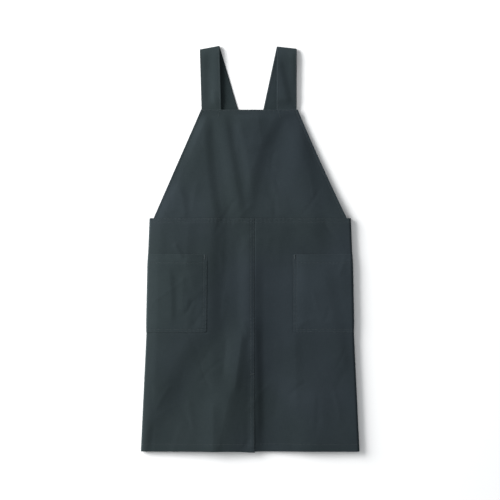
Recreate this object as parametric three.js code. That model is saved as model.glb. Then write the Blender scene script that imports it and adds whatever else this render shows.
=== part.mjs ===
// Full-length work apron of heavy canvas, lying face up and flat as it is put down on a table.
// The skirt halves wrap round the sides to the back, the pockets wrap round with them, and the
// shoulder straps fold over at the top, cross under the bib and are sewn to the back panels.
// Each cut piece is a slab of cloth, made flat and then bent into its place by a function.

import * as THREE from "three";

// Driving dimensions, in millimetres. X runs across, Y from the hem up to the shoulder, Z up.
const CLOTH = 1.0; // one layer of canvas
const HEM_EXTRA = 0.8; // what the turned-in layers add on the inner side of a hem
const STRAP_CLOTH = 1.4; // a strap is folded and stitched from two layers
const GAP = 0.4; // clearance between pieces that are sewn to each other

const BIB_TOP_Y = 342.5;
const WAIST_Y = 75;
const HEM_Y = -500;
const POCKET_TOP_Y = -14;
const POCKET_BOTTOM_Y = -207;
const SLIT_TOP_Y = -309;

const BIB_TOP_HALF = 119.2;
const BIB_WAIST_HALF = 238;
const BIB_LEAN = -1.8; // how far the top of the bib lies to the left of the middle
const BIB_HOLLOW = 2; // how far its right side is drawn in between top and waist
const BIB_TUCK = 12; // how far the bib reaches under the skirt's top edge
const BIB_HEM = 24; // turned top edge
const SIDE_HEM = 8; // turned slanting edges of the bib
const SKIRT_HEM = 20; // turned bottom edge
const BACK_HEM = 10; // turned top and centre edges of the back panels
const HEM_STEP = 1.5; // width of the slope where a hem ends
const POCKET_HEM = 24; // turned mouth of a pocket

// Heights of the middle of the cloth above the table.
const FRONT_Z = 12.5; // front of the skirt
const SIDE_Z = 9; // front where it turns over into the side folds
const SIDE_RISE = 70; // width over which the front comes up from there
const BACK_Z = CLOTH / 2; // back panels, flat on the table
const SEAM_DROP = CLOTH + GAP; // how far the bib lies under the skirt at the waist
const BIB_TOP_Z = 8.5;
const BIB_EDGE_SAG = 1.6; // how far the slanting edges hang below the middle of the bib
const BIB_SAG_WIDTH = 45; // width beside the slanting edges that sags
const BIB_SAG_RISE = 75; // height above the waist over which that sag sets in

// Half the width of the folded skirt, measured to the outside of the side folds.
const SKIRT_OUTLINE = [
  { y: WAIST_Y, half: 248.4 },
  { y: POCKET_TOP_Y, half: 251.8 },
  { y: POCKET_BOTTOM_Y, half: 255.8 },
  { y: HEM_Y, half: 269.7 },
];

// The lapped seam down the middle of the skirt: the left half lies over the right half.
const LAP_OVER_X = 11; // folded edge of the left half
const LAP_UNDER_X = -3; // hidden edge of the right half
const LAP_RAMP = { start: 44, end: 0 }; // where the left half climbs, left of the middle
const LAP_RISE = CLOTH + 1.75 * GAP;
const SLIT_LIFT = 2; // how far the free corner of the left half stands up at the hem

const CENTRE_BACK_X = 2.5; // where the two back panels meet
const BACK_EDGE_GAP = 1.5; // from there to each panel's edge

// Main folds of the front, each from its top end to its bottom end. left and right are the widths of
// its slopes, bow is how far it bows sideways, where it does, and rise is its height. Ridges stand up
// and hollows have a negative rise. Each fades out to its ends and sides.
const FOLDS = [
  { name: "crown of the bib", x0: -5, y0: 360, x1: 0, y1: 40, left: 160, right: 170, rise: 2.3 },
  { name: "left bib ridge", x0: -118, y0: 355, x1: -86, y1: 45, bow: -7, left: 95, right: 27, rise: 2.7 },
  { name: "inner left bib ridge", x0: -72, y0: 352, x1: -21, y1: 60, left: 30, right: 20, rise: 1.8 },
  { name: "middle bib ridge", x0: -30, y0: 350, x1: 14, y1: 90, bow: 5, left: 22, right: 50, rise: 1.5 },
  { name: "bib hollow", x0: 118, y0: 355, x1: 14, y1: 62, bow: -21, left: 36, right: 75, rise: -2.6 },
  { name: "right bib ridge", x0: 112, y0: 345, x1: 172, y1: -40, bow: -6, left: 60, right: 42, rise: 2.3 },
  { name: "left edge ridge", x0: -200, y0: 230, x1: -240, y1: -430, left: 60, right: 90, rise: 1.6 },
  { name: "skirt ridge", x0: -86, y0: 150, x1: -88, y1: -400, bow: -19, left: 130, right: 46, rise: 4.2 },
  { name: "seam ridge", x0: -3, y0: 45, x1: -3, y1: -230, left: 32, right: 130, rise: 1.9 },
  { name: "seam hollow", x0: 34, y0: 30, x1: 40, y1: -560, left: 34, right: 100, rise: -3.2 },
  { name: "slit ridge", x0: 10, y0: -140, x1: 9, y1: -560, left: 17, right: 24, rise: 1.9 },
  { name: "slit hollow", x0: 44, y0: -240, x1: 44, y1: -640, left: 90, right: 150, rise: -4.4 },
  { name: "slanting skirt ridge", x0: -18, y0: -160, x1: -72, y1: -560, left: 75, right: 58, rise: 4.2 },
  { name: "slanting skirt hollow", x0: -67, y0: -187, x1: -262, y1: -538, left: 62, right: 100, rise: -3.8 },
  { name: "left hem ridge", x0: -92, y0: -360, x1: -90, y1: -540, left: 50, right: 26, rise: 2 },
  { name: "right pocket ridge", x0: 169, y0: -33, x1: 234, y1: -323, left: 60, right: 34, rise: 1.3 },
  { name: "right hem ridge", x0: 147, y0: -340, x1: 152, y1: -530, left: 60, right: 60, rise: 1.4 },
];
const FOLD_FADE = 0.22; // share of a fold's length over which each end fades
const SIDE_FADE = 25; // width beside the side folds that stays smooth

// Shoulder straps. lean and turn are degrees: lean of the front run from straight up, and turn of
// the fold line from straight across. foldZ is the height of the front run at the shoulder fold, and
// tilt how far its right edge stands above its middle. The back run bends once it is under the bib.
const STRAP_HALF = 24.4;
const STRAP_TUCK = 30; // how far a strap reaches down behind the bib
const STRAP_RISE = 30; // length over which the front run comes up from the bib's top edge
const STRAP_END_Y = 44; // where the back run ends on the back panel
const STRAP_ROOT_Z = BIB_TOP_Z - CLOTH / 2 - HEM_EXTRA - GAP - STRAP_CLOTH / 2;
const STRAP_FLOOR_Z = STRAP_CLOTH / 2;
const STRAP_OVER = STRAP_CLOTH + GAP; // rise where one strap crosses the other
const STRAP_SEAT_Z = CLOTH + HEM_EXTRA + GAP + STRAP_CLOTH / 2; // on the back panel's hem
const BEND_FROM_Y = 335;
const FOLD_TILT = 0.4; // share of the tilt that is left at the shoulder fold
const TILT_RISE = 60; // length below the fold over which the rest of it sets in
const STRAP_CROWN = 2.2; // how far the front run stands above its fold
const CROWN_RISE = 30; // length below the fold over which it gets there
const STRAPS = [
  {
    name: "strap_left",
    rootX: -95.7,
    lean: 1.6,
    turn: 8.9,
    foldY: 492.2,
    foldZ: 6.8,
    tilt: 1.5,
    endX: 41,
    backHeight: [
      { y: 112, z: STRAP_FLOOR_Z },
      { y: 84, z: STRAP_SEAT_Z },
    ],
  },
  {
    name: "strap_right",
    rootX: 90.2,
    lean: -0.1,
    turn: -6.1,
    foldY: 492.6,
    foldZ: 7,
    tilt: -0.8,
    endX: -35,
    backHeight: [
      { y: 300, z: STRAP_FLOOR_Z },
      { y: 255, z: STRAP_FLOOR_Z + STRAP_OVER },
      { y: 150, z: STRAP_FLOOR_Z + STRAP_OVER },
      { y: 108, z: STRAP_SEAT_Z + STRAP_OVER },
      { y: 76, z: STRAP_SEAT_Z + STRAP_OVER },
      { y: 54, z: STRAP_SEAT_Z },
    ],
  },
];

// Pockets. The inner edge is a share of the flat front, from the middle to the side fold.
const POCKET_INNER = 0.425;
const POCKET_WRAP = 28; // how far a pocket reaches past the side fold on the back
const POCKET_PUFF = 2.8; // how far the mouth gapes
const POCKET_DIP = 3; // how far the skirt sinks behind the mouth
const DIP_FADE = 45; // height above the mouth over which the skirt comes up again
const PUFF_SLOPE = 40; // width over which the gape falls to nothing at its sides
const PUFF_RISE = { from: 0.05, to: 0.7 }; // share of the depth over which it grows
const LIFT_FADE = 34; // how far the back panel takes to come down beside a pocket

const CANVAS = new THREE.MeshStandardMaterial({ color: 0x353f42, roughness: 0.92, metalness: 0 });
const CANVAS_STRAP = new THREE.MeshStandardMaterial({ color: 0x394346, roughness: 0.92, metalness: 0 });

const clamp = THREE.MathUtils.clamp;
const lerp = THREE.MathUtils.lerp;
const radians = THREE.MathUtils.degToRad;

// 0 before a, 1 after b and an even curve between; b may lie below a.
function smooth(a, b, x) {
  const t = clamp((x - a) / (b - a), 0, 1);
  return t * t * (3 - 2 * t);
}

// Value of a column of a table whose rows run down in y.
function fromTable(rows, column, y) {
  if (y >= rows[0].y) return rows[0][column];
  for (let i = 1; i < rows.length; i += 1) {
    if (y >= rows[i].y) {
      const share = (rows[i - 1].y - y) / (rows[i - 1].y - rows[i].y);
      return lerp(rows[i - 1][column], rows[i][column], share);
    }
  }
  return rows[rows.length - 1][column];
}

// Evenly spaced values after a up to b.
function steps(a, b, count) {
  return Array.from({ length: count }, (_, i) => lerp(a, b, (i + 1) / count));
}

function foldHeight(fold, x, y) {
  const { bow = 0 } = fold;
  const axis = new THREE.Vector2(fold.x1 - fold.x0, fold.y1 - fold.y0);
  const from = new THREE.Vector2(x - fold.x0, y - fold.y0);
  const along = from.dot(axis) / axis.lengthSq();
  if (along <= 0 || along >= 1) return 0;
  const across = axis.cross(from) / axis.length() - 4 * bow * along * (1 - along);
  const share = across < 0 ? -across / fold.left : across / fold.right;
  if (share >= 1) return 0;
  const ends = smooth(0, FOLD_FADE, along) * smooth(1, 1 - FOLD_FADE, along);
  return fold.rise * ends * Math.cos((Math.PI / 2) * share) ** 2;
}

function foldsAt(x, y) {
  return FOLDS.reduce((sum, fold) => sum + foldHeight(fold, x, y), 0);
}

function bibHalf(y) {
  const up = clamp((y - WAIST_Y) / (BIB_TOP_Y - WAIST_Y), 0, 1);
  return lerp(BIB_WAIST_HALF, BIB_TOP_HALF, up);
}

function bibMiddle(y) {
  return (BIB_LEAN * Math.max(y - WAIST_Y, 0)) / (BIB_TOP_Y - WAIST_Y);
}

// Height of the front at a distance inside the side fold, which draws it down in an even curve.
function frontBase(inset) {
  const near = 1 - clamp(inset / SIDE_RISE, 0, 1);
  return lerp(FRONT_Z, SIDE_Z, near * near);
}

// How far the back panel is lifted, at a distance from the side fold, by the pocket under it.
function backLift(y, inward) {
  const level = smooth(POCKET_TOP_Y + LIFT_FADE, POCKET_TOP_Y, y);
  const above = smooth(POCKET_BOTTOM_Y - LIFT_FADE, POCKET_BOTTOM_Y, y);
  const near = smooth(POCKET_WRAP + LIFT_FADE, POCKET_WRAP, inward);
  return (CLOTH + GAP) * level * above * near;
}

// Radius of the side fold, and where the flat front ends and the fold begins.
function sideFold(y) {
  const radius = (SIDE_Z - BACK_Z - backLift(y, 0)) / 2;
  const flat = fromTable(SKIRT_OUTLINE, "half", y) - CLOTH / 2 - radius;
  return { radius, flat, arc: Math.PI * radius };
}

// How far the left half is raised where it laps over the right half at the middle seam.
function lapRise(girth, y) {
  const over = smooth(LAP_RAMP.start, LAP_RAMP.end, girth);
  const free = smooth(LAP_RAMP.start, -LAP_OVER_X, girth) * smooth(SLIT_TOP_Y, HEM_Y, y);
  return LAP_RISE * over + SLIT_LIFT * free;
}

// Share of a pocket's gape: nothing at its seams and all of it in the middle of its mouth.
function pocketRoom(girth, y) {
  const { flat } = sideFold(y);
  const depth = (y - POCKET_BOTTOM_Y) / (POCKET_TOP_Y - POCKET_BOTTOM_Y);
  const inner = smooth(0, PUFF_SLOPE, girth - POCKET_INNER * flat);
  const outer = smooth(0, PUFF_SLOPE, flat - girth);
  const below = smooth(POCKET_TOP_Y + DIP_FADE, POCKET_TOP_Y, y);
  return inner * outer * below * smooth(PUFF_RISE.from, PUFF_RISE.to, depth);
}

// Middle of the skirt's cloth. girth runs from the middle of the front, round the side, to the back,
// and dip is how far the front sinks behind the mouth of a pocket.
function skirtPoint(side, girth, y, dip) {
  const { radius, flat, arc } = sideFold(y);
  if (girth <= flat) {
    const inset = flat - Math.abs(girth);
    const lap = side < 0 ? lapRise(girth, y) : 0;
    const relief = foldsAt(side * girth, y) * smooth(0, SIDE_FADE, inset) - dip * pocketRoom(girth, y);
    return new THREE.Vector3(side * girth, y, frontBase(inset) + relief + lap);
  }
  if (girth <= flat + arc) {
    const turn = (girth - flat) / radius;
    const x = flat + radius * Math.sin(turn);
    return new THREE.Vector3(side * x, y, SIDE_Z - radius + radius * Math.cos(turn));
  }
  const inward = girth - flat - arc;
  return new THREE.Vector3(side * (flat - inward), y, BACK_Z + backLift(y, inward));
}

// Outward normal of a sheet from its middle surface, by small steps along both of its directions.
const NORMAL_STEP = 0.25;
function normalOf(point, u, v, hand = 1) {
  const alongU = point(u + NORMAL_STEP, v).sub(point(u - NORMAL_STEP, v)).multiplyScalar(hand);
  const alongV = point(u, v + NORMAL_STEP).sub(point(u, v - NORMAL_STEP));
  return alongU.cross(alongV).normalize();
}

// A slab with a vertex at each crossing of the columns and rows; place(column, row, face) puts it
// where it lies. face is 1 on the outer side of the cloth and -1 on the inner side.
function slab(columns, rows, place) {
  const across = columns.length - 1;
  const along = rows.length - 1;
  const geometry = new THREE.BoxGeometry(1, 1, 1, across, along, 1);
  const position = geometry.getAttribute("position");
  for (let i = 0; i < position.count; i += 1) {
    const column = columns[Math.round((position.getX(i) + 0.5) * across)];
    const row = rows[Math.round((position.getY(i) + 0.5) * along)];
    const at = place(column, row, Math.sign(position.getZ(i)));
    position.setXYZ(i, at.x, at.y, at.z);
  }
  geometry.computeVertexNormals();
  return geometry;
}

function piece(name, geometry, material) {
  const mesh = new THREE.Mesh(geometry, material);
  mesh.name = name;
  return mesh;
}

// Offset of a face from the middle of the cloth, thicker on the inner side inside a hem.
function faceOffset(face, hem) {
  return face > 0 ? CLOTH / 2 : -CLOTH / 2 - HEM_EXTRA * hem;
}

// 1 inside a hem of that width and 0 past the slope where it ends.
function hemShare(fromEdge, width) {
  return clamp((width + HEM_STEP - fromEdge) / HEM_STEP, 0, 1);
}

// Columns of the skirt as functions from y to girth: shares of the flat front, then the side fold
// in equal turns, then distances along the back.
const BIB_CORNER = 0.97; // where the bib's lower corners meet the skirt
const FRONT_SHARES = [
  0.07, 0.13, 0.19, 0.25, 0.31, 0.37, POCKET_INNER, 0.49, 0.56, 0.63, 0.7, 0.77, 0.84, 0.91, BIB_CORNER, 1,
];
const FOLD_TURNS = 6;
const BACK_MIDDLE = 130; // a column half-way across the back panel
const onFront = (share) => (y) => share * sideFold(y).flat;
const onFold = (share) => (y) => sideFold(y).flat + share * sideFold(y).arc;
const onBack = (inward) => (y) => sideFold(y).flat + sideFold(y).arc + inward;

function backEdge(side) {
  return CENTRE_BACK_X + side * BACK_EDGE_GAP;
}

// Girth of a point of the back panel that lies inset from its centre edge.
function onBackEdge(side, inset) {
  return (y) => 2 * sideFold(y).flat + sideFold(y).arc - side * backEdge(side) - inset;
}

function skirtColumns(side) {
  const middle = side < 0 ? [-LAP_OVER_X, LAP_RAMP.end] : [LAP_UNDER_X, LAP_OVER_X];
  return [
    ...middle.map((girth) => () => girth),
    ...FRONT_SHARES.map(onFront),
    ...steps(0, 1, FOLD_TURNS).map(onFold),
    ...[POCKET_WRAP, POCKET_WRAP + LIFT_FADE, BACK_MIDDLE].map(onBack),
    ...[BACK_HEM + HEM_STEP, BACK_HEM, 0].map((inset) => onBackEdge(side, inset)),
  ];
}

// Number of rows between the lines that the rows have to meet.
const ROWS = {
  hemToSlit: 6,
  slitToPocket: 4,
  pocket: 6,
  pocketToWaist: 3,
  bib: 9,
  rise: 2,
  shoulder: 2,
  roll: 8,
  back: 22,
};

// Rows of the skirt from the hem up, with lines at the hem, the slit, the pocket and the waist.
const POCKET_ROWS = [
  ...steps(POCKET_BOTTOM_Y, POCKET_TOP_Y - POCKET_HEM - HEM_STEP, ROWS.pocket),
  POCKET_TOP_Y - POCKET_HEM,
  POCKET_TOP_Y,
];
const SKIRT_ROWS = [
  HEM_Y,
  HEM_Y + SKIRT_HEM,
  HEM_Y + SKIRT_HEM + HEM_STEP,
  ...steps(HEM_Y + SKIRT_HEM + HEM_STEP, SLIT_TOP_Y, ROWS.hemToSlit),
  ...steps(SLIT_TOP_Y, POCKET_BOTTOM_Y, ROWS.slitToPocket),
  ...POCKET_ROWS,
  ...steps(POCKET_TOP_Y, WAIST_Y - BIB_TUCK, ROWS.pocketToWaist),
  WAIST_Y,
];

function skirtHalf(side) {
  const point = (girth, y) => skirtPoint(side, girth, y, POCKET_DIP);
  const columns = skirtColumns(side);
  if (side < 0) columns.reverse();
  return slab(columns, SKIRT_ROWS, (column, y, face) => {
    const girth = column(y);
    const { flat, arc } = sideFold(y);
    const bottomHem = hemShare(y - HEM_Y, SKIRT_HEM);
    const centreHem = hemShare(onBackEdge(side, 0)(y) - girth, BACK_HEM);
    const topHem = girth > flat + arc ? hemShare(WAIST_Y - y, BACK_HEM) : 0;
    const hem = Math.max(bottomHem, centreHem, topHem);
    return point(girth, y).addScaledVector(normalOf(point, girth, y, side), faceOffset(face, hem));
  });
}

function pocket(side) {
  const point = (girth, y) => skirtPoint(side, girth, y, 0);
  const columns = [
    ...FRONT_SHARES.filter((share) => share >= POCKET_INNER).map(onFront),
    ...steps(0, 1, FOLD_TURNS).map(onFold),
    onBack(POCKET_WRAP),
  ];
  if (side < 0) columns.reverse();
  const rows = [POCKET_BOTTOM_Y, ...POCKET_ROWS];
  return slab(columns, rows, (column, y, face) => {
    const girth = column(y);
    const puff = POCKET_PUFF * pocketRoom(girth, y);
    const hem = hemShare(POCKET_TOP_Y - y, POCKET_HEM) * Math.min(puff / HEM_EXTRA, 1);
    const off = CLOTH + GAP + puff + faceOffset(face, hem);
    return point(girth, y).addScaledVector(normalOf(point, girth, y, side), off);
  });
}

// Middle of the bib's cloth, at a place across it that may run past its edges.
function bibPoint(x, y) {
  const inside = bibHalf(y) - Math.abs(x - bibMiddle(y));
  const inset = sideFold(y).flat - Math.abs(x);
  const calm = smooth(0, SIDE_FADE, y > WAIST_Y ? inside : inset);
  const hang = 1 - smooth(0, BIB_SAG_WIDTH, inside);
  const sag = BIB_EDGE_SAG * hang * smooth(WAIST_Y, WAIST_Y + BIB_SAG_RISE, y);
  const topCalm = smooth(BIB_TOP_Y - STRAP_TUCK, BIB_TOP_Y - 2 * STRAP_TUCK, y);
  const base = lerp(frontBase(inset) - SEAM_DROP, BIB_TOP_Z, smooth(WAIST_Y, BIB_TOP_Y, y));
  return new THREE.Vector3(x, y, base + (foldsAt(x, y) * calm - sag) * topCalm);
}

// How far a place on the right of the bib is drawn in, most half-way up its slanting side.
function bibHollow(x, y) {
  const up = clamp((y - WAIST_Y) / (BIB_TOP_Y - WAIST_Y), 0, 1);
  const share = Math.max(x, 0) / bibHalf(y);
  return 4 * BIB_HOLLOW * share * share * up * (1 - up);
}

// Columns of the bib fan in from those of the skirt below it.
const onBib = (share) => (y) => (share / BIB_CORNER) * bibHalf(y);

function bib() {
  const hemEdge = [SIDE_HEM + HEM_STEP, SIDE_HEM, 0];
  const topInside = BIB_TOP_HALF - SIDE_HEM - 2 * HEM_STEP;
  const half = [
    ...FRONT_SHARES.map(onBib).filter((x) => x(BIB_TOP_Y) < topInside),
    ...hemEdge.map((inset) => (y) => bibHalf(y) - inset),
  ];
  const columns = [
    ...half.map((x) => (y) => -x(y)).reverse(),
    () => 0,
    ...half,
  ];
  const rows = [
    WAIST_Y - BIB_TUCK,
    WAIST_Y,
    ...steps(WAIST_Y, BIB_TOP_Y - BIB_HEM - HEM_STEP, ROWS.bib),
    BIB_TOP_Y - BIB_HEM,
    BIB_TOP_Y,
  ];
  return slab(columns, rows, (column, y, face) => {
    const x = column(y);
    const topHem = hemShare(BIB_TOP_Y - y, BIB_HEM);
    const sideHem = y > WAIST_Y ? hemShare(bibHalf(y) - Math.abs(x), SIDE_HEM) : 0;
    const off = faceOffset(face, Math.max(topHem, sideHem));
    const at = bibPoint(x + bibMiddle(y) - bibHollow(x, y), y);
    return at.addScaledVector(normalOf(bibPoint, at.x, y), off);
  });
}

// Height of a strap's front run at its fold line, and radius of the roll there; the roll is a cone
// where the strap is tilted. sideways is measured along the fold line from the middle of the strap.
function shoulderFold(strap, sideways) {
  const height = strap.foldZ + (FOLD_TILT * strap.tilt * sideways) / STRAP_HALF;
  return { height, radius: (height - STRAP_FLOOR_Z) / 2 };
}

// A strap laid flat behind the bib, rolled over its shoulder fold and laid back down under itself.
// across and along are measured on the strap; along starts at its lower front end.
function strapPoint(strap, across, along) {
  const lean = radians(strap.lean);
  const turn = radians(strap.turn);
  const up = new THREE.Vector2(-Math.sin(lean), Math.cos(lean));
  const right = new THREE.Vector2(up.y, -up.x);
  const crease = new THREE.Vector2(Math.cos(turn), Math.sin(turn));
  const over = new THREE.Vector2(-crease.y, crease.x);
  const rootY = BIB_TOP_Y - STRAP_TUCK;
  const root = new THREE.Vector2(strap.rootX, BIB_TOP_Y).addScaledVector(up, -STRAP_TUCK / up.y);
  const run = (strap.foldY - rootY) / up.y;
  const fold = root.clone().addScaledVector(up, run);

  const flat = root.clone().addScaledVector(up, along).addScaledVector(right, across);
  const fromFold = flat.clone().sub(fold);
  const sideways = fromFold.dot(crease);
  const past = fromFold.dot(over);
  const { height, radius } = shoulderFold(strap, sideways);
  if (past <= 0) {
    const more = (1 - FOLD_TILT) * smooth(0, TILT_RISE, -past);
    const short = 1 - clamp(-past / CROWN_RISE, 0, 1);
    const crown = STRAP_CROWN * (1 - short * short);
    const free = height + crown + (more * strap.tilt * sideways) / STRAP_HALF;
    const z = lerp(STRAP_ROOT_Z, free, smooth(BIB_TOP_Y, BIB_TOP_Y + STRAP_RISE, flat.y));
    return new THREE.Vector3(flat.x, flat.y, z);
  }
  const at = fold.clone().addScaledVector(crease, sideways);
  const turned = past / radius;
  if (turned <= Math.PI) {
    at.addScaledVector(over, radius * Math.sin(turned));
    return new THREE.Vector3(at.x, at.y, height - radius + radius * Math.cos(turned));
  }
  at.addScaledVector(over, -(past - Math.PI * radius));
  const bent = Math.max(BEND_FROM_Y - at.y, 0) / (BEND_FROM_Y - STRAP_END_Y);
  return new THREE.Vector3(
    at.x + strapBend(strap, fold, crease, up, over) * bent * bent,
    at.y,
    fromTable(strap.backHeight, "z", at.y),
  );
}

// Sideways shift that brings the end of the back run to its place on the back panel.
function strapBend(strap, fold, crease, up, over) {
  const down = crease.clone().multiplyScalar(up.dot(crease)).addScaledVector(over, -up.dot(over));
  const straightX = fold.x + (down.x * (STRAP_END_Y - fold.y)) / down.y;
  return strap.endX - straightX;
}

function strapSolid(strap) {
  const point = (across, along) => strapPoint(strap, across, along);
  const slant = radians(strap.turn - strap.lean);
  const toFold = (strap.foldY - BIB_TOP_Y + STRAP_TUCK) / Math.cos(radians(strap.lean));
  const backRun = (strap.foldY - STRAP_END_Y) / Math.cos(radians(2 * strap.turn - strap.lean));
  const straight = (along) => () => along;
  // The fold line slants across the strap, so the rows slant with it there and on the back run.
  const slanted = (along) => (across) => along + across * Math.tan(slant);
  const roll = (across) => (Math.PI * shoulderFold(strap, across).radius) / Math.cos(slant);
  const rolled = (share) => (across) => slanted(toFold + share * roll(across))(across);
  const back = (along) => (across) => slanted(toFold + roll(across) + along)(across);
  const rows = [
    straight(0),
    straight(STRAP_TUCK),
    ...steps(STRAP_TUCK, STRAP_TUCK + STRAP_RISE, ROWS.rise).map(straight),
    ...steps(STRAP_TUCK + STRAP_RISE, toFold - TILT_RISE, ROWS.shoulder).map(straight),
    slanted(toFold - STRAP_HALF),
    slanted(toFold),
    ...steps(0, 1, ROWS.roll).map(rolled),
    ...steps(0, backRun, ROWS.back).map(back),
  ];
  const columns = [-STRAP_HALF, 0, STRAP_HALF];
  return slab(columns, rows, (across, row, face) => {
    const along = row(across);
    return point(across, along).addScaledVector(normalOf(point, across, along), (face * STRAP_CLOTH) / 2);
  });
}

const skirt = new THREE.Group();
const upper = new THREE.Group();
for (const [name, side] of [["left", -1], ["right", 1]]) {
  skirt.add(piece(`skirt_${name}`, skirtHalf(side), CANVAS));
  skirt.add(piece(`pocket_${name}`, pocket(side), CANVAS));
}
upper.add(piece("bib", bib(), CANVAS));
for (const strap of STRAPS) upper.add(piece(strap.name, strapSolid(strap), CANVAS_STRAP));

const apron = new THREE.Group();
apron.add(skirt, upper);

export default apron;
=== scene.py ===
import math

import bmesh
import bpy
import numpy as np
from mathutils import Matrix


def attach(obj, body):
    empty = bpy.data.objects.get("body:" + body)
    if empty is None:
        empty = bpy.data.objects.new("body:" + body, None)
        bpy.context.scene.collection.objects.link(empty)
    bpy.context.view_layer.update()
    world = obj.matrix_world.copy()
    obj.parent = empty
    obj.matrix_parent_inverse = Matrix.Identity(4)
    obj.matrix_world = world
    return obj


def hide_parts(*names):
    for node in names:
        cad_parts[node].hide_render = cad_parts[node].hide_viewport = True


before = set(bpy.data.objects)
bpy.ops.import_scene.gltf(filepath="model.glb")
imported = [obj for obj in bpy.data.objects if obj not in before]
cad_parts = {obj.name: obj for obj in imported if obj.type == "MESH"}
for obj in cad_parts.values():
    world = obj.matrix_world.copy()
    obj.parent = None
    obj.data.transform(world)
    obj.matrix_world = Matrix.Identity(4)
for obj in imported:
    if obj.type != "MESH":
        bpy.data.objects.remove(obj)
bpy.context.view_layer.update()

# Skirt. Each half is one length of heavy canvas that runs from the centre front, round the side in
# a soft fold, to the centre back. The left half laps over the right and is double stitched down to
# the slit; the hem, the top of the back panels and their centre edges are turned in and stitched.
MM = 0.001
CLOTH = 1.0
HEM_EXTRA = 0.8
GAP = 0.4
FLOOR_GAP = 0.6
WAIST_Y = 75
HEM_Y = -500
POCKET_TOP_Y = -14
POCKET_BOTTOM_Y = -207
POCKET_WRAP = 28
SLIT_TOP_Y = -309
FRONT_Z = 12.5
# Heights of the left and the right side fold.
SIDE_Z = {-1: 9, 1: 12.5}
SIDE_RISE = 70
BACK_Z = CLOTH / 2 + FLOOR_GAP
OUTLINE_Y = [HEM_Y, POCKET_BOTTOM_Y, POCKET_TOP_Y, WAIST_Y]
OUTLINE_HALF = [269.7, 255.8, 251.8, 248.4]
LAP_OVER = 11
LAP_UNDER = 3
LAP_RAMP = (44, 0)
LAP_RISE = 1.25
LAP_MEET = 0.6
LAP_MEET_TOP = 0.25
LAP_MEET_Y = (-120, 20)
LAP_SPREAD = 60
LAP_CREST = 3
LAP_DITCH = (-0.5, 2.5)
SLIT_LIFT = 0.7
SLIT_DROOP = 2.2
CENTRE_BACK = 2.5
BACK_EDGE_GAP = 1.5
SKIRT_HEM = 20
BACK_HEM = 10
LIFT_FADE = 34
POCKET_INNER = 0.425
POCKET_DIP = 0.9
PUFF_INNER = 40
PUFF_OUTER = 95
PUFF_DEPTH = (0.05, 0.7)
DIP_FADE = 45

# Soft folds of the front: from their top end to their bottom end, how far they bow sideways, the
# width of the slope on the left and on the right, and the height. Hollows have a negative height.
FOLDS = [
    (-5, 360, 0, 40, 0, 160, 170, 2.3),
    (-118, 355, -86, 45, -7, 95, 27, 2.7),
    (-72, 352, -21, 60, 0, 30, 20, 1.8),
    (-30, 350, 14, 90, 5, 22, 50, 1.5),
    (118, 355, 14, 62, -21, 36, 75, -2.6),
    (112, 345, 172, -40, -6, 60, 42, 2.3),
    (-86, 150, -88, -400, -19, 130, 46, 4.2),
    (-3, 45, -3, -230, 0, 32, 130, 1.9),
    (34, 30, 40, -560, 0, 34, 100, -3.2),
    (44, -240, 44, -640, 0, 90, 150, -4.4),
    (-18, -160, -72, -560, 0, 75, 58, 4.2),
    (-67, -187, -262, -538, 0, 62, 100, -3.8),
    (169, -33, 234, -323, 0, 60, 34, 1.3),
    (147, -340, 152, -530, 0, 60, 60, 1.4),
    (-200, 230, -240, -430, 0, 60, 90, 1.6),
]
# Sharper creases that lie on them, with the same columns.
CREASES = [
    (-17, -190, -41, -370, 0, 45, 20, 1.9),
    (-42, -330, -90, -530, 0, 45, 28, 1.4),
    (-92, -360, -90, -540, 0, 50, 26, 2.0),
    (10, -140, 9, -560, 0, 17, 24, 1.9),
    (14, 356, 32, 238, 0, 40, 30, 1.3),
    (-182, 165, -160, 65, 6, 30, 20, 1.3),
    (110, -180, 115, -415, 0, 40, 22, 0.8),
    (-187, 16, -164, -28, 0, 14, 10, 0.8),
    (-138, -122, -160, -166, 0, 12, 10, -0.7),
    (-164, -50, -166, -170, 0, 18, 40, 0.9),
    (-200, -40, -194, -195, 3, 30, 14, 0.9),
    (16, -190, 22, -480, 0, 12, 16, 0.7),
    (-150, 85, -158, -60, 0, 85, 30, 1.1),
    (75, 75, 70, -50, 0, 60, 90, 1.0),
]
FOLD_FADE = 0.22
CREASE_KEEN = 0.5
SIDE_FADE = 25
# Small crumples left by packing and wear, scattered over the front and mostly upright. They have the
# same columns, a longer slope on the right, and are ridges or hollows.
CRUMPLE_COUNT = 80
CRUMPLE_X = (-255, 255)
CRUMPLE_Y = (-470, 330)
CRUMPLE_LEAN = 0.55
CRUMPLE_LENGTH = (40, 130)
CRUMPLE_WIDTH = (7, 17)
CRUMPLE_HEIGHT = (0.15, 0.45)
CRUMPLE_BOW = (-6, 6)
LONGER_SLOPE = 1.4
crumpling = np.random.default_rng(7)
CRUMPLES = []
for _ in range(CRUMPLE_COUNT):
    x, y = crumpling.uniform(*CRUMPLE_X), crumpling.uniform(*CRUMPLE_Y)
    lean, length = crumpling.normal(0, CRUMPLE_LEAN), crumpling.uniform(*CRUMPLE_LENGTH)
    wide, high = crumpling.uniform(*CRUMPLE_WIDTH), crumpling.uniform(*CRUMPLE_HEIGHT)
    end = (x + length * math.sin(lean), y - length * math.cos(lean))
    bow = crumpling.uniform(*CRUMPLE_BOW)
    up_or_down = crumpling.choice([-1, 1])
    CRUMPLES.append((x, y, *end, bow, wide, LONGER_SLOPE * wide, high * up_or_down))
# Slight unevenness of the whole front, in long and short waves: their heights, and their lengths in mm.
LONG_RIPPLE = 0.22
SHORT_RIPPLE = 0.07
LONG_WAVES = (31, 97, 143, 211)
SHORT_WAVES = (13.7, 61, 47, 39)
WAVE_SWAY = 1.3
WAVE_STARTS = (0.7, 2.1, 0.4)


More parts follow.
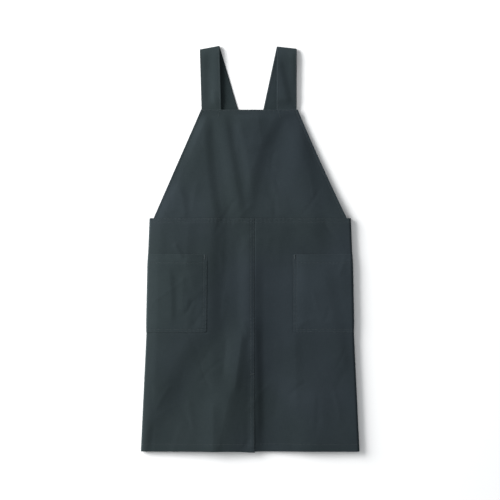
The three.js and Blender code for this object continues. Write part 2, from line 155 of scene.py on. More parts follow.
def ease(a, b, x):
    """0 up to a and 1 from b on, with a soft change between them."""
    t = np.clip((x - a) / (b - a), 0, 1)
    return t * t * (3 - 2 * t)


def relief(x, y, table, keen=0.0):
    """Height of the folds in a table. Keen ones have a sharper ridge."""
    x, y = np.broadcast_arrays(x, y)
    total = np.zeros(x.shape)
    for x0, y0, x1, y1, bow, left, right, height in table:
        length = math.hypot(x1 - x0, y1 - y0)
        along = ((x - x0) * (x1 - x0) + (y - y0) * (y1 - y0)) / length**2
        across = ((y - y0) * (x1 - x0) - (x - x0) * (y1 - y0)) / length
        near = (along > 0) & (along < 1) & (np.abs(across) < max(left, right) + abs(bow))
        along = along[near]
        across = across[near] - 4 * bow * along * (1 - along)
        share = np.clip(np.abs(across) / np.where(across < 0, left, right), 0, 1)
        ends = ease(0, FOLD_FADE, along) * ease(1, 1 - FOLD_FADE, along)
        soft = np.cos(np.pi / 2 * share) ** 2
        total[near] += height * ends * (soft + keen * ((1 - share) ** 2 - soft))
    return total


def ripple(x, y):
    """Slight unevenness of cloth that has been worn and washed."""
    a, b, c, d = LONG_WAVES
    long_wave = np.sin(x / a + WAVE_SWAY * np.sin(y / b)) * np.sin(y / c + x / d + WAVE_STARTS[0])
    a, b, c, d = SHORT_WAVES
    short_wave = np.sin(x / a + y / b + WAVE_STARTS[1]) * np.sin(y / c - x / d + WAVE_STARTS[2])
    return LONG_RIPPLE * long_wave + SHORT_RIPPLE * short_wave


def front_shape(x, y):
    """Height of all folds, creases and crumples at a place on the front."""
    return relief(x, y, FOLDS) + relief(x, y, CREASES + CRUMPLES, CREASE_KEEN) + ripple(x, y)


def front_base(side, inset):
    """Height of the front at a distance inside a side fold. The lower left fold draws it down."""
    short = 1 - np.clip(inset / SIDE_RISE, 0, 1)
    return FRONT_Z - (FRONT_Z - SIDE_Z[side]) * short**2


def back_lift(y, inward):
    """How far a back panel is lifted by the end of the pocket that lies under it."""
    level = ease(POCKET_TOP_Y + LIFT_FADE, POCKET_TOP_Y, y)
    above = ease(POCKET_BOTTOM_Y - LIFT_FADE, POCKET_BOTTOM_Y, y)
    near = ease(POCKET_WRAP + LIFT_FADE, POCKET_WRAP, inward)
    return (CLOTH + GAP) * level * above * near


def side_fold(side, y):
    """Radius of the side fold, half width of the front beside it, and length of cloth round it."""
    radius = (SIDE_Z[side] - BACK_Z - back_lift(y, 0)) / 2
    flat = np.interp(y, OUTLINE_Y, OUTLINE_HALF) - CLOTH / 2 - radius
    return radius, flat, np.pi * radius


def pocket_room(side, turn, y):
    """Share of the gape of a pocket, from nothing at its seams to all of it inside the mouth."""
    flat = side_fold(side, y)[1]
    depth = (y - POCKET_BOTTOM_Y) / (POCKET_TOP_Y - POCKET_BOTTOM_Y)
    beside = ease(0, PUFF_INNER, (turn - POCKET_INNER) * flat) * ease(0, PUFF_OUTER, (1 - turn) * flat)
    return beside * ease(*PUFF_DEPTH, depth) * ease(POCKET_TOP_Y + DIP_FADE, POCKET_TOP_Y, y)


SEAM_SWELL = 0.45
SWELL_START = 0.3
SWELL_CREST = 2.6
SWELL_END = 30
LEFT_SWELL_END = (12, -4)
RIGHT_SWELL = 0.4
RIGHT_SWELL_END = 6


def swell(distance):
    """How cloth stands up beside an edge that is sewn down on it, with a narrow ditch at the edge."""
    rise = ease(SWELL_START, SWELL_CREST, distance)
    return SEAM_SWELL * rise * ease(SWELL_END, SWELL_CREST, distance)


def pocket_swell(side, turn, y):
    """Swell of the skirt below the left pocket, and beside and below the right one."""
    flat = side_fold(side, y)[1]
    beside, below = (POCKET_INNER - turn) * flat, POCKET_BOTTOM_Y - y
    if side < 0:
        return swell(below) * ease(*LEFT_SWELL_END, beside)
    away = np.hypot(np.maximum(beside, 0), np.maximum(below, 0))
    under_mouth = ease(POCKET_TOP_Y + RIGHT_SWELL_END, POCKET_TOP_Y - RIGHT_SWELL_END, y)
    return RIGHT_SWELL * swell(away) * under_mouth


def back_reach(side, flat):
    """Width of a back panel, from the side fold to its edge at the centre back."""
    return flat - side * CENTRE_BACK - BACK_EDGE_GAP


def girth_at(side, turn, y):
    """Distance round the cloth: turn is 0 to 1 on the front, to 2 round the side, to 3 on the back."""
    _, flat, arc = side_fold(side, y)
    back = flat + arc + (turn - 2) * back_reach(side, flat)
    return np.where(turn <= 1, turn * flat, np.where(turn <= 2, flat + (turn - 1) * arc, back))


def skirt_point(side, turn, y, dipped=True):
    """Middle of the cloth of one half. The front is dipped under its pocket, to make the room inside."""
    radius, flat, arc = side_fold(side, y)
    girth = girth_at(side, turn, y)
    x = side * girth
    inset = flat - np.abs(girth)
    z_front = front_base(side, inset) + front_shape(x, y) * ease(0, SIDE_FADE, inset)
    y_front = y
    if dipped:
        z_front = z_front - POCKET_DIP * pocket_room(side, turn, y)
        z_front = z_front + pocket_swell(side, turn, y) * ease(0, SIDE_FADE, inset)
    if side < 0:
        z_front = z_front + LAP_RISE * ease(LAP_RAMP[0], LAP_RAMP[1], girth)
        free = ease(LAP_RAMP[0], -LAP_OVER, girth) * ease(SLIT_TOP_Y, HEM_Y, y)
        z_front = z_front + SLIT_LIFT * free
        y_front = y - SLIT_DROOP * free
    else:
        meeting = ease(LAP_SPREAD, LAP_OVER + LAP_CREST, girth)
        meeting = meeting * ease(LAP_OVER + LAP_DITCH[0], LAP_OVER + LAP_DITCH[1], girth)
        z_front = z_front + (LAP_MEET + LAP_MEET_TOP * ease(*LAP_MEET_Y, y)) * meeting
    bend = (turn - 1) * np.pi
    inward = girth - flat - arc
    x_side = side * (flat + radius * np.sin(bend))
    z_side = SIDE_Z[side] - radius + radius * np.cos(bend)
    on_front, on_side = turn <= 1, turn <= 2
    x = np.where(on_front, x, np.where(on_side, x_side, side * (flat - inward)))
    z = np.where(on_front, z_front, np.where(on_side, z_side, BACK_Z + back_lift(y, inward)))
    return np.stack([x, np.where(on_front, y_front, y) + np.zeros_like(x), z], axis=-1)


def outward(point, u, v, hand=1, step_u=0.3, step_v=0.3):
    """Direction out of the face of the cloth."""
    along_u = point(u + step_u, v) - point(u - step_u, v)
    along_v = point(u, v + step_v) - point(u, v - step_v)
    normal = np.cross(along_u, along_v) * hand
    return normal / np.linalg.norm(normal, axis=-1, keepdims=True)


def spread(stops, step):
    """Lines from the first stop to the last, through every stop, no further apart than step."""
    lines = [stops[0]]
    for a, b in zip(stops, stops[1:]):
        count = max(1, math.ceil(abs(b - a) / step))
        lines.extend(a + (b - a) * (i + 1) / count for i in range(count))
    return np.array(lines)


EDGE_LINES = (0, 0.12, 0.35, 0.7, 1.1)
HEM_RAISED = 0.2
HEM_STEP = 2.5
LEAST_CLOTH = 0.05
PRESS_WIDTH = 12
SEAM_PRESS = 0.5


def pressed_seam(distance, depth, width=PRESS_WIDTH):
    """How far the cloth beside a seam is pressed down."""
    return depth * ease(width, 0, distance)


def turned_edge(edges, raised=HEM_RAISED):
    """Outer face and thickness of cloth near its edges, and the distance from the nearest. Each edge
    is given by the distance from it, the width that is turned in and how far the seam along it is
    pressed down. The edge itself is round."""
    inside, pressed, nearest = 0, 0, np.inf
    for distance, width, press in edges:
        turned = ease(width, width + HEM_STEP, distance)
        inside = np.maximum(inside, np.where(width > 0, 1 - turned, 0))
        pressed = np.maximum(pressed, press)
        nearest = np.minimum(nearest, distance)
    full = CLOTH + HEM_EXTRA * inside - pressed
    radius = full / 2
    dip = radius - np.sqrt(np.maximum(radius**2 - np.clip(radius - nearest, 0, None) ** 2, 0))
    outer = CLOTH / 2 + raised * HEM_EXTRA * inside - pressed - dip
    return outer, np.maximum(full - 2 * dip, LEAST_CLOTH), nearest


ROW_DITCH = 0.26
ROW_DITCH_WIDTH = 1.5
PUCKER = 0.10
PUCKER_WIDTH = 5
PUCKER_LENGTH = 1.55
PUCKER_SWAY = 1.9
PUCKER_SWAY_LENGTH = 17
PUCKER_LEAST = 0.6
PUCKER_CHANGE = 0.4
PUCKER_CHANGE_LENGTH = 41


def sewn_in(distance, along):
    """How a row of stitches draws the cloth in, with the small puckers beside it."""
    ditch = -ROW_DITCH * np.exp(-((distance / ROW_DITCH_WIDTH) ** 2))
    wave = np.sin(along / PUCKER_LENGTH + PUCKER_SWAY * np.sin(along / PUCKER_SWAY_LENGTH))
    wave = wave * (PUCKER_LEAST + PUCKER_CHANGE * np.sin(along / PUCKER_CHANGE_LENGTH))
    return ditch + PUCKER * wave * np.exp(-((distance / PUCKER_WIDTH) ** 2))


WORN_WIDTH = 1.8
EDGE_WORN = 0.2
# Lightening along the side folds: a painted highlight, strong on the left fold, which faces the lamp, and
# a little wear on both folds.
FOLD_LIGHTENING = 0.9
LEFT_PAINTED_HIGHLIGHT = 0.8
FOLD_LIGHTENING_WIDTH = 10
FOLD_LIGHTENING_PLACE = 0.2


def worn(distance):
    """How far an edge has lost its dye by rubbing."""
    return np.exp(-((distance / WORN_WIDTH) ** 2))


def fold_wear_and_highlight(side, girth, flat, arc):
    """Lightening along the side folds, on the part that stands highest: a painted highlight, much
    stronger on the left fold, which faces the lamp, with a little wear on both.
    """
    away = (girth - flat - FOLD_LIGHTENING_PLACE * arc) / FOLD_LIGHTENING_WIDTH
    return (FOLD_LIGHTENING - LEFT_PAINTED_HIGHLIGHT * side) * np.exp(-(away**2))


LAYER_LEVELS = 200


def cut_cloth(name, across, along, lay, node):
    """A sheet cut with its threads along the given lines and laid by lay(u, v), which gives the
    outer face, the thickness and the place on the flat cut, all in millimetres, and a shade value that
    edge wear and painted highlights raise and painted shade lowers."""
    cloth = bmesh.new()
    bmesh.ops.create_grid(cloth, x_segments=len(across) - 1, y_segments=len(along) - 1, size=0.5)
    mesh = bpy.data.meshes.new(name)
    cloth.to_mesh(mesh)
    cloth.free()
    flat = np.empty(len(mesh.vertices) * 3)
    mesh.vertices.foreach_get("co", flat)
    flat = flat.reshape(-1, 3)
    u = across[np.rint((flat[:, 0] + 0.5) * (len(across) - 1)).astype(int)]
    v = along[np.rint((flat[:, 1] + 0.5) * (len(along) - 1)).astype(int)]
    place, thick, cut, wear_and_painted_light = lay(u, v)
    mesh.vertices.foreach_set("co", (place * MM).ravel())
    corner = np.empty(len(mesh.loops), dtype=int)
    mesh.loops.foreach_get("vertex_index", corner)
    threads = mesh.uv_layers.new(name="threads")
    threads.data.foreach_set("uv", (cut[corner] * MM).astype(np.float32).ravel())
    # The sheet's shade value: edge wear, painted highlight and painted shade in one attribute.
    wear_and_light_layer = mesh.attributes.new("wear_and_painted_light", "FLOAT", "POINT")
    wear_and_light_layer.data.foreach_set("value", wear_and_painted_light.astype(np.float32))
    mesh.shade_smooth()
    mesh.update()
    piece = bpy.data.objects.new(name, mesh)
    bpy.context.collection.objects.link(piece)
    layers = piece.vertex_groups.new(name="layers")
    most = float(thick.max())
    share = np.rint(thick / most * LAYER_LEVELS).astype(int)
    for level in np.unique(share):
        layers.add(np.flatnonzero(share == level).tolist(), float(level) / LAYER_LEVELS, "REPLACE")
    wall = piece.modifiers.new("wall", "SOLIDIFY")
    wall.thickness = most * MM
    wall.offset = -1
    wall.vertex_group = "layers"
    wall.use_even_offset = False
    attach(piece, "root")
    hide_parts(node)
    return piece


THREAD_MM = 1.1
SLUB_LONG = 60
SLUB_FINE = 700
OVER_SHADE = 0.14
SLUB_SHADE = 0.45
DYE_SHADE = 0.8
WEAR_AND_LIGHT_SHADE = 0.25
LEFT_PAINTED_LIGHT_DRIFT = 0.45
ROUGH_LEAST = 0.8
SLUB_ROUGH = 0.08
OVER_HEIGHT = 0.5


def canvas(name, dark, light):
    """Plain-woven cotton duck, garment dyed: threads over and under, slubs along both of them,
    slow changes of shade from the dye bath, a painted light that makes the cloth lighter and greener
    towards the left, nearer the lamp, and a dry matt face. The shade value on the points adds edge wear,
    painted highlights and painted shade."""
    look = bpy.data.materials.new(name)
    look.use_nodes = True
    nodes, links = look.node_tree.nodes, look.node_tree.links
    shader = nodes["Principled BSDF"]
    shader.inputs["Specular IOR Level"].default_value = 0.14
    shader.inputs["Sheen Weight"].default_value = 0.07
    shader.inputs["Sheen Roughness"].default_value = 0.45
    shader.inputs["Sheen Tint"].default_value = (0.62, 0.74, 0.76, 1)

    def node(kind, **settings):
        made = nodes.new(kind)
        for key, value in settings.items():
            setattr(made, key, value)
        return made

    def math_node(operation, a, b):
        made = node("ShaderNodeMath", operation=operation)
        for socket, value in zip(made.inputs, (a, b)):
            if hasattr(value, "is_linked"):
                links.new(value, socket)
            elif value is not None:
                socket.default_value = value
        return made.outputs[0]

    threads = node("ShaderNodeUVMap", uv_map="threads")
    parts = node("ShaderNodeSeparateXYZ")
    links.new(threads.outputs["UV"], parts.inputs[0])
    turns = math.pi / (THREAD_MM * MM)
    warp = math_node("SINE", math_node("MULTIPLY", parts.outputs["X"], turns), None)
    weft = math_node("SINE", math_node("MULTIPLY", parts.outputs["Y"], turns), None)
    over = math_node("MULTIPLY", warp, weft)

    def slubs(stretch):
        lay_along = node("ShaderNodeMapping")
        lay_along.inputs["Scale"].default_value = stretch
        links.new(threads.outputs["UV"], lay_along.inputs["Vector"])
        uneven = node("ShaderNodeTexNoise")
        uneven.inputs["Scale"].default_value = 1
        uneven.inputs["Detail"].default_value = 2
        links.new(lay_along.outputs["Vector"], uneven.inputs["Vector"])
        return uneven.outputs["Fac"]

    slub = math_node("ADD", slubs((SLUB_LONG, SLUB_FINE, 1)), slubs((SLUB_FINE, SLUB_LONG, 1)))
    place = node("ShaderNodeTexCoord")
    dye = node("ShaderNodeTexNoise")
    dye.inputs["Scale"].default_value = 7
    dye.inputs["Detail"].default_value = 4
    links.new(place.outputs["Object"], dye.inputs["Vector"])

    wear_and_painted_light = node("ShaderNodeAttribute", attribute_name="wear_and_painted_light")
    shade = math_node("MULTIPLY", over, OVER_SHADE)
    shade = math_node("ADD", shade, math_node("MULTIPLY", math_node("SUBTRACT", slub, 1), SLUB_SHADE))
    shade = math_node("ADD", shade, math_node("MULTIPLY", dye.outputs["Fac"], DYE_SHADE))
    # Edge wear and painted highlight lighten the cloth here, and painted shade darkens it.
    shade = math_node("ADD", shade, math_node("MULTIPLY", wear_and_painted_light.outputs["Fac"], WEAR_AND_LIGHT_SHADE))
    colour = node("ShaderNodeMix", data_type="RGBA", clamp_factor=True)
    colour.inputs["A"].default_value = (*dark, 1)
    colour.inputs["B"].default_value = (*light, 1)
    links.new(shade, colour.inputs["Factor"])
    bath = node("ShaderNodeTexNoise")
    bath.inputs["Scale"].default_value = 3.4
    links.new(place.outputs["Object"], bath.inputs["Vector"])
    spot = node("ShaderNodeSeparateXYZ")
    links.new(place.outputs["Object"], spot.inputs[0])
    # Painted light: the colour drifts lighter and greener towards the left, nearer the lamp.
    tone = math_node("ADD", bath.outputs["Fac"], math_node("MULTIPLY", spot.outputs["X"], LEFT_PAINTED_LIGHT_DRIFT))
    cast = node("ShaderNodeValToRGB")
    cast.color_ramp.elements[0].position = 0.36
    cast.color_ramp.elements[0].color = (0.94, 0.96, 0.91, 1)
    cast.color_ramp.elements[1].position = 0.62
    cast.color_ramp.elements[1].color = (0.92, 0.91, 0.97, 1)
    links.new(tone, cast.inputs["Fac"])
    tinted = node("ShaderNodeMix", data_type="RGBA", blend_type="MULTIPLY")
    tinted.inputs["Factor"].default_value = 1
    links.new(colour.outputs["Result"], tinted.inputs["A"])
    links.new(cast.outputs["Color"], tinted.inputs["B"])
    links.new(tinted.outputs["Result"], shader.inputs["Base Color"])

    rough = math_node("ADD", math_node("MULTIPLY", slub, SLUB_ROUGH), ROUGH_LEAST)
    links.new(rough, shader.inputs["Roughness"])
    height = math_node("ADD", math_node("MULTIPLY", over, OVER_HEIGHT), slub)
    bump = node("ShaderNodeBump")
    bump.inputs["Strength"].default_value = 0.25
    bump.inputs["Distance"].default_value = 0.0002
    links.new(height, bump.inputs["Height"])
    links.new(bump.outputs["Normal"], shader.inputs["Normal"])
    return look


skirt_canvas = canvas("slate_canvas_skirt", (0.0127, 0.0194, 0.0227), (0.0286, 0.0385, 0.0433))

# The thread is polyester, a shade lighter than the cloth, and its stitches lie in their own ditch.
STITCH_PITCH = 3.3
STITCH_SIZE = (2.9, 0.75, 0.6)
STITCH_RISE = 0.12
STITCH_REACH = 0.4
STITCH_SWAY = (0.12, 0.06)
TACK_PITCH = 0.7
TACK_SIZE = (3.3, 0.7, 0.7)


def thread_look():
    look = bpy.data.materials.new("slate_thread")
    look.use_nodes = True
    nodes, links = look.node_tree.nodes, look.node_tree.links
    shader = nodes["Principled BSDF"]
    shader.inputs["Specular IOR Level"].default_value = 0.35
    place = nodes.new("ShaderNodeTexCoord")
    twist = nodes.new("ShaderNodeTexNoise")
    twist.inputs["Scale"].default_value = 900
    links.new(place.outputs["Object"], twist.inputs["Vector"])
    ply = nodes.new("ShaderNodeValToRGB")
    ply.color_ramp.elements[0].color = (0.018, 0.0255, 0.029, 1)
    ply.color_ramp.elements[1].color = (0.043, 0.056, 0.061, 1)
    links.new(twist.outputs["Fac"], ply.inputs["Fac"])
    links.new(ply.outputs["Color"], shader.inputs["Base Color"])
    gloss = nodes.new("ShaderNodeMapRange")
    gloss.inputs["To Min"].default_value = 0.5
    gloss.inputs["To Max"].default_value = 0.75
    links.new(twist.outputs["Fac"], gloss.inputs["Value"])
    links.new(gloss.outputs["Result"], shader.inputs["Roughness"])
    return look


thread = thread_look()
sewing = np.random.default_rng(11)


def sew_row(face, path, pitch=STITCH_PITCH, size=STITCH_SIZE, across=False):
    """Centres and axes of the stitches along a path of (u, v) places on a face of the cloth."""
    place, normal = face(path[:, 0], path[:, 1])
    run = np.concatenate([[0], np.cumsum(np.linalg.norm(np.diff(place, axis=0), axis=1))])
    at = np.arange(pitch / 2, run[-1], pitch)
    centre = np.stack([np.interp(at, run, place[:, k]) for k in range(3)], axis=1)
    up = np.stack([np.interp(at, run, normal[:, k]) for k in range(3)], axis=1)
    step = np.stack([np.interp(at + STITCH_REACH, run, place[:, k]) for k in range(3)], axis=1)
    step -= np.stack([np.interp(at - STITCH_REACH, run, place[:, k]) for k in range(3)], axis=1)
    up /= np.linalg.norm(up, axis=1, keepdims=True)
    step -= up * (step * up).sum(axis=1, keepdims=True)
    step /= np.linalg.norm(step, axis=1, keepdims=True)
    side = np.cross(up, step)
    if across:
        step, side = side, step
    sway = sewing.normal(*STITCH_SWAY, len(at))[:, None]
    step, side = step * np.cos(sway) + side * np.sin(sway), side * np.cos(sway) - step * np.sin(sway)
    return centre, step * size[0], side * size[1], up * size[2]


def stitches(name, rows):
    """All the stitches of one piece, as one mesh of small thread grains."""
    grain = bmesh.new()
    bmesh.ops.create_icosphere(grain, subdivisions=1, radius=0.5)
    shape = np.array([v.co for v in grain.verts])
    faces = np.array([[v.index for v in f.verts] for f in grain.faces])
    grain.free()
    centre, long_axis, wide_axis, high_axis = (np.concatenate(part) for part in zip(*rows))
    points = centre[:, None, :] + shape[None, :, 0:1] * long_axis[:, None, :]
    points = points + shape[None, :, 1:2] * wide_axis[:, None, :]
    points = points + shape[None, :, 2:3] * high_axis[:, None, :]
    index = faces[None] + (np.arange(len(centre)) * len(shape))[:, None, None]
    mesh = bpy.data.meshes.new(name)
    mesh.from_pydata((points.reshape(-1, 3) * MM).tolist(), [], index.reshape(-1, 3).tolist())
    mesh.shade_smooth()
    mesh.update()
    piece = bpy.data.objects.new(name, mesh)
    bpy.context.collection.objects.link(piece)
    piece.data.materials.append(thread)
    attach(piece, "root")
    return piece


def straight(u0, v0, u1, v1, points=400):
    """A straight path for a row of stitches."""
    share = np.linspace(0, 1, points)
    return np.stack([u0 + (u1 - u0) * share, v0 + (v1 - v0) * share], axis=1)


# Places of the stitch rows, and of the threads that the cloth is laid with: finer at edges and seams.
SEAM_ROWS = (1.8, 9.5)
HEM_ROW = 18.5
BACK_ROW = 8.5
ROW_START = 1.5
ROW_END = 2
UNDER_ROW_START = 1
SLIT_TACK = (1, 11)
SKIRT_MID_Y = -200.0
THREAD_STEP = 2.4
TURN_STEP = 0.0012
FOLD_STEP = 1 / 14
LIFT_STEP = 6
BACK_STEP = 16
BACK_EDGE = 14
BACK_EDGE_STEP = 3
BACK_EDGE_LINE = 4
PAST_HEM = 3
DITCH_LINES = (3.5, 2.6, 1.9, 1.3, 0.7)
UNDER_LAP_LINES = (-0.5, 0.3, 1, 1.8, 2.6, 4)


def skirt_half(side):
    """One half, the left for -1 and the right for 1, with its stitches."""
    name = "skirt_left" if side < 0 else "skirt_right"
    point = lambda turn, y: skirt_point(side, turn, y)
    lap = LAP_OVER if side < 0 else LAP_UNDER

    def face(turn, y, extra=0.0):
        _, flat, arc = side_fold(side, y)
        girth = girth_at(side, turn, y)
        whole = flat + arc + back_reach(side, flat)
        from_lap, from_hem, from_back = girth + lap, y - HEM_Y, whole - girth
        from_top = WAIST_Y - y
        on_front = turn <= 1
        top_press = np.where(on_front, pressed_seam(from_top, SEAM_PRESS), 0)
        outer, thick, edge = turned_edge(
            [
                (from_hem, SKIRT_HEM, 0),
                (from_lap, 0, pressed_seam(from_lap, SEAM_PRESS)),
                (from_back, BACK_HEM, 0),
                (from_top, np.where(on_front, 0, BACK_HEM), top_press),
            ],
            np.where(on_front, HEM_RAISED, 0),
        )
        outer = outer + sewn_in(from_hem - HEM_ROW, girth)
        for row in SEAM_ROWS:
            outer = outer + sewn_in(from_top - row, girth)
            if side < 0:
                outer = outer + sewn_in(from_lap - row, y)
        outer = outer + sewn_in(from_back - BACK_ROW, y)
        normal = outward(point, turn, y, side, step_u=TURN_STEP)
        return point(turn, y) + normal * (outer + extra)[..., None], normal, thick, girth, edge

    def lay(turn, y):
        place, _, thick, girth, edge = face(turn, y)
        _, flat, arc = side_fold(side, y)
        # Edge wear, and the painted highlight along the side fold.
        wear_and_painted_light = np.maximum(EDGE_WORN * worn(edge), fold_wear_and_highlight(side, girth, flat, arc))
        return place, thick, np.stack([girth, y], axis=1), wear_and_painted_light

    def surface(turn, y):
        place, normal, *_ = face(turn, y, STITCH_RISE)
        return place, normal

    flat_mid = float(side_fold(side, SKIRT_MID_Y)[1])
    share = lambda girth: girth / flat_mid
    back = float(back_reach(side, flat_mid))
    front_stops = [share(-lap + d) for d in EDGE_LINES]
    front_stops += [share(-lap + r) for r in SEAM_ROWS]
    front_stops += [share(LAP_OVER + d) for d in ((LAP_CREST,) if side < 0 else UNDER_LAP_LINES)]
    front_stops += [POCKET_INNER - share(d) for d in (*DITCH_LINES, 0)] + [1]
    lifted = 2 + (POCKET_WRAP + LIFT_FADE) / back
    last_strip = 3 - BACK_EDGE / back
    centre_row = 3 - BACK_ROW / back
    across = np.concatenate([
        spread(front_stops, share(THREAD_STEP)),
        spread([1, 2], FOLD_STEP)[1:],
        spread([2, lifted], LIFT_STEP / back)[1:],
        spread([lifted, last_strip], BACK_STEP / back)[1:],
        spread([last_strip, centre_row], BACK_EDGE_STEP / back)[1:],
        [3 - d / back for d in (BACK_EDGE_LINE, *reversed(EDGE_LINES))],
    ])
    if side < 0:
        across = across[::-1]
    along = spread(
        [HEM_Y + d for d in EDGE_LINES]
        + [HEM_Y + HEM_ROW, HEM_Y + SKIRT_HEM + PAST_HEM]
        + [POCKET_BOTTOM_Y - d for d in (*DITCH_LINES, 0)]
        + [WAIST_Y - PRESS_WIDTH]
        + [WAIST_Y - r for r in reversed(SEAM_ROWS)]
        + [WAIST_Y - d for d in reversed(EDGE_LINES)],
        THREAD_STEP,
    )
    piece = cut_cloth(f"{name}_cloth", across, along, lay, name)
    piece.data.materials.append(skirt_canvas)

    hem = HEM_Y + HEM_ROW
    back_end = 3 - ROW_END / back
    rows = [sew_row(surface, straight(share(ROW_START - lap), hem, back_end, hem, points=1500))]
    top_start = share(ROW_START - lap if side < 0 else LAP_OVER + UNDER_ROW_START)
    low, high = HEM_Y + ROW_END, WAIST_Y - ROW_END
    for row in SEAM_ROWS:
        level = WAIST_Y - row
        rows.append(sew_row(surface, straight(top_start, level, back_end, level, points=1500)))
        if side < 0:
            beside = share(row - lap)
            rows.append(sew_row(surface, straight(beside, low, beside, high)))
    rows.append(sew_row(surface, straight(centre_row, low, centre_row, high)))
    if side < 0:
        tack_from, tack_to = (share(-lap + d) for d in SLIT_TACK)
        tack = straight(tack_from, SLIT_TOP_Y, tack_to, SLIT_TOP_Y, points=60)
        rows.append(sew_row(surface, tack, TACK_PITCH, TACK_SIZE, across=True))
    thread_piece = stitches(f"stitches_{name}", rows)


skirt_half(-1)
skirt_half(1)

# Pockets. Patches of the same canvas that run round the side folds, with a turned mouth that gapes
# a little, double rows of stitching on the inner side and the bottom, and a bar tack at the mouth.
POCKET_HEM = 24
POCKET_PUFF = 1.5
POCKET_OFF = CLOTH + GAP
POCKET_PRESS = 0.4
PATCH_PRESS = 0.6
MOUTH_PRESS = 1.0
PATCH_SOFT = 30
# How far the sewn edges of the left and the right pocket are pressed down, and over what width.
PATCH_EDGE = {-1: (0.25, 4), 1: (PATCH_PRESS, PATCH_SOFT)}
POCKET_ROUND = 7
ROUND_FADE = 28
PATCH_WORN = 0.1
MOUTH_ROW = 21
MOUTH_TACK = (12, 1)
PATCH_ROWS = (2.2, 8.6)
PATCH_STEP = 2.2
patch_canvas = canvas("slate_canvas_pocket", (0.0136, 0.0207, 0.0241), (0.0306, 0.0414, 0.0463))


def pocket(side):
    """One pocket. It follows the skirt under it and stands off it more towards the mouth."""
    name = "pocket_left" if side < 0 else "pocket_right"
    under = lambda turn, y: skirt_point(side, turn, y, dipped=False)
    middle = (POCKET_TOP_Y + POCKET_BOTTOM_Y) / 2
    flat_mid = float(side_fold(side, middle)[1])
    share = lambda girth: girth / flat_mid
    back = float(back_reach(side, flat_mid))
    last = 2 + POCKET_WRAP / back
    edge_press = PATCH_EDGE[side]

    def from_seam(turn, y):
        """Distance from the inner and bottom edges, which meet in a round corner."""
        from_inner, from_bottom = (turn - POCKET_INNER) * side_fold(side, y)[1], y - POCKET_BOTTOM_Y
        short_x = np.maximum(POCKET_ROUND - from_inner, 0)
        short_y = np.maximum(POCKET_ROUND - from_bottom, 0)
        corner = POCKET_ROUND - np.hypot(short_x, short_y)
        return np.maximum(np.where(short_x * short_y > 0, corner, np.minimum(from_inner, from_bottom)), 0)

    def point(turn, y):
        normal = outward(under, turn, y, side, step_u=TURN_STEP)
        off = POCKET_OFF - pressed_seam(from_seam(turn, y), POCKET_PRESS, PATCH_SOFT)
        return under(turn, y) + normal * (off + POCKET_PUFF * pocket_room(side, turn, y))[..., None]

    def face(turn, y, extra=0.0):
        girth = girth_at(side, turn, y)
        from_inner = girth - POCKET_INNER * side_fold(side, y)[1]
        from_top, from_bottom = POCKET_TOP_Y - y, y - POCKET_BOTTOM_Y
        from_last = girth_at(side, last, y) - girth
        sewn = from_seam(turn, y)
        outer, thick, edge = turned_edge(
            [
                (sewn, 0, pressed_seam(sewn, *edge_press)),
                (from_top, POCKET_HEM, pressed_seam(from_top, MOUTH_PRESS, PATCH_SOFT)),
                (from_last, 0, pressed_seam(from_last, PATCH_PRESS)),
            ]
        )
        outer = outer + sewn_in(from_top - MOUTH_ROW, girth)
        for row in PATCH_ROWS:
            outer = outer + sewn_in(from_inner - row, y) + sewn_in(from_bottom - row, girth)
        normal = outward(point, turn, y, side, step_u=TURN_STEP)
        return point(turn, y) + normal * (outer + extra)[..., None], normal, thick, girth, edge

    def lay(turn, y):
        _, flat, arc = side_fold(side, y)
        short = np.clip(POCKET_ROUND - (turn - POCKET_INNER) * flat, 0, POCKET_ROUND)
        corner = POCKET_ROUND - np.sqrt(POCKET_ROUND**2 - short**2)
        y = y + corner * ease(POCKET_BOTTOM_Y + ROUND_FADE, POCKET_BOTTOM_Y, y)
        place, _, thick, girth, edge = face(turn, y)
        # Edge wear, and the painted highlight along the side fold.
        wear_and_painted_light = np.maximum(PATCH_WORN * worn(edge), fold_wear_and_highlight(side, girth, flat, arc))
        return place, thick, np.stack([girth, y], axis=1), wear_and_painted_light

    def surface(turn, y):
        place, normal, *_ = face(turn, y, STITCH_RISE)
        return place, normal

    end = last - ROW_END / back
    inner_lines = [POCKET_INNER + share(d) for d in (*EDGE_LINES, *PATCH_ROWS)]
    across = np.concatenate([
        spread([*inner_lines, 1], share(PATCH_STEP)),
        spread([1, 2], FOLD_STEP)[1:],
        spread([2, end], BACK_EDGE_STEP / back)[1:],
        [last - d / back for d in reversed(EDGE_LINES)],
    ])
    if side < 0:
        across = across[::-1]
    along = spread(
        [POCKET_BOTTOM_Y + d for d in (*EDGE_LINES, *PATCH_ROWS)]
        + [POCKET_TOP_Y - d for d in (POCKET_HEM + PAST_HEM, MOUTH_ROW, *reversed(EDGE_LINES))],
        PATCH_STEP,
    )
    piece = cut_cloth(f"{name}_cloth", across, along, lay, name)
    piece.data.materials.append(patch_canvas)

    start = POCKET_INNER + share(POCKET_ROUND)
    low, high = POCKET_BOTTOM_Y + POCKET_ROUND, POCKET_TOP_Y - MOUTH_TACK[1]
    mouth = POCKET_TOP_Y - MOUTH_ROW
    rows = [sew_row(surface, straight(start, mouth, end, mouth))]
    rows.append(sew_row(surface, straight(end, low, end, high)))
    for row in PATCH_ROWS:
        inner, level = POCKET_INNER + share(row), POCKET_BOTTOM_Y + row
        rows.append(sew_row(surface, straight(inner, low, inner, high)))
        rows.append(sew_row(surface, straight(start, level, end, level)))
    tack_at = POCKET_INNER + share(sum(PATCH_ROWS) / 2)
    tack = straight(tack_at, POCKET_TOP_Y - MOUTH_TACK[0], tack_at, high, points=60)
    rows.append(sew_row(surface, tack, TACK_PITCH, TACK_SIZE, across=True))
    thread_piece = stitches(f"stitches_{name}", rows)


pocket(-1)
pocket(1)

